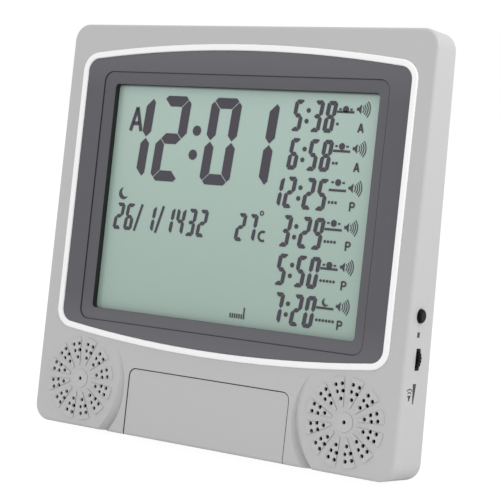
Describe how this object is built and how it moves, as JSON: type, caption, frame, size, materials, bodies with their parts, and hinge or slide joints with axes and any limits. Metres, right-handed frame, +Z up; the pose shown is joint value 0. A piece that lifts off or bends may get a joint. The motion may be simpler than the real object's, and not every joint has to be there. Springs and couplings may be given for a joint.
{
  "type": "azan clock",
  "caption": "Free-standing digital clock with a large display, two round speaker grilles, a drop-down key door, side stop button and volume wheel, and a fold-out rear leg.",
  "frame": {"origin": "middle of the clock's footprint, on the table it stands on", "axes": "+Z up, -Y towards the viewer of the display, +X to the viewer's right"},
  "size_m": [0.2116, 0.0738, 0.2024],
  "materials": {
    "case_grey": "fine matt silver-grey moulded ABS",
    "cover_grey": "matt grey moulded ABS",
    "trim_white": "glossy white moulded ABS",
    "bezel_dark": "satin dark blue-grey moulded ABS",
    "display_glass": "grey-green reflective liquid crystal glass",
    "holder_white": "plain white moulded ABS",
    "board_green": "green solder-masked board",
    "contact_rubber": "striped conductive rubber",
    "mat_silicone": "soft silicone",
    "key_rubber": "matt dark grey plastic",
    "speaker_steel": "pressed zinc-plated steel",
    "cone_paper": "black pressed paper",
    "magnet_ferrite": "sintered ferrite",
    "control_black": "glossy black plastic",
    "part_black": "black epoxy and plastic",
    "cell_jacket": "printed steel jacket, plain",
    "contact_nickel": "nickel-plated spring strip",
    "can_steel": "drawn steel can",
    "lead_red": "PVC insulation",
    "ribbon_grey": "grey PVC ribbon",
    "screw_steel": "zinc-plated steel"
  },
  "bodies": {
    "clock": {"front_housing": "case_grey", "rear_cover": "cover_grey", "trim_ring": "trim_white", "screen_bezel": "bezel_dark", "lcd_panel": "display_glass", "lcd_holder": "holder_white", "main_circuit_board": "board_green", "contact_strip": "contact_rubber", "key_mat": "mat_silicone", "key_circuit_board": "board_green", "left_speaker_frame": "speaker_steel", "left_speaker_cone": "cone_paper", "left_speaker_magnet": "magnet_ferrite", "right_speaker_frame": "speaker_steel", "right_speaker_cone": "cone_paper", "right_speaker_magnet": "magnet_ferrite", "side_circuit_board": "board_green", "volume_potentiometer": "part_black", "stop_switch": "part_black", "battery_cells": "cell_jacket", "battery_contacts": "contact_nickel", "controller_chip": "part_black", "quartz_crystal": "can_steel", "capacitors": "part_black", "amplifier_chip": "part_black", "speaker_leads": "lead_red", "battery_leads": "lead_red", "key_ribbon": "ribbon_grey", "case_screws": "screw_steel", "holder_screws": "screw_steel", "board_screws": "screw_steel", "key_board_screws": "screw_steel"},
    "door": {"front_door": "case_grey"},
    "stop": {"stop_button": "control_black"},
    "wheel": {"volume_wheel": "control_black"},
    "leg": {"stand_leg": "cover_grey"},
    "lid": {"battery_door": "cover_grey"},
    "mode_key_body": {"mode_key": "key_rubber"},
    "set_key_body": {"set_key": "key_rubber"},
    "hour_key_body": {"hour_key": "key_rubber"},
    "minute_key_body": {"minute_key": "key_rubber"},
    "alarm_key_body": {"alarm_key": "key_rubber"},
    "light_key_body": {"light_key": "key_rubber"}
  },
  "joints": [
    {"name": "door_hinge", "type": "hinge", "parent": "clock", "child": "door", "pos_m": [-0.0008, -0.03276, 0.00651], "axis": [1, 0, 0], "range_deg": [0, 90]},
    {"name": "stop_press", "type": "slide", "parent": "clock", "child": "stop", "axis": [-1, 0, 0], "range_m": [0, 0.001], "stiffness_N_per_m": 800},
    {"name": "volume_turn", "type": "hinge", "parent": "clock", "child": "wheel", "pos_m": [0.0974, -0.01584, 0.05662], "axis": [0, 0.9822, -0.1879], "range_deg": [-135, 135]},
    {"name": "leg_hinge", "type": "hinge", "parent": "clock", "child": "leg", "pos_m": [-0.0008, -0.00854, 0.00961], "axis": [1, 0, 0], "range_deg": [0, 90]},
    {"name": "lid_hinge", "type": "hinge", "parent": "clock", "child": "lid", "pos_m": [-0.0008, 0.01263, 0.11496], "axis": [-1, 0, 0], "range_deg": [0, 60]},
    {"name": "mode_key_press", "type": "slide", "parent": "clock", "child": "mode_key_body", "axis": [0, 0.9822, -0.1879], "range_m": [0, 0.0008], "stiffness_N_per_m": 800},
    {"name": "set_key_press", "type": "slide", "parent": "clock", "child": "set_key_body", "axis": [0, 0.9822, -0.1879], "range_m": [0, 0.0008], "stiffness_N_per_m": 800},
    {"name": "hour_key_press", "type": "slide", "parent": "clock", "child": "hour_key_body", "axis": [0, 0.9822, -0.1879], "range_m": [0, 0.0008], "stiffness_N_per_m": 800},
    {"name": "minute_key_press", "type": "slide", "parent": "clock", "child": "minute_key_body", "axis": [0, 0.9822, -0.1879], "range_m": [0, 0.0008], "stiffness_N_per_m": 800},
    {"name": "alarm_key_press", "type": "slide", "parent": "clock", "child": "alarm_key_body", "axis": [0, 0.9822, -0.1879], "range_m": [0, 0.0008], "stiffness_N_per_m": 800},
    {"name": "light_key_press", "type": "slide", "parent": "clock", "child": "light_key_body", "axis": [0, 0.9822, -0.1879], "range_m": [0, 0.0008], "stiffness_N_per_m": 800}
  ]
}
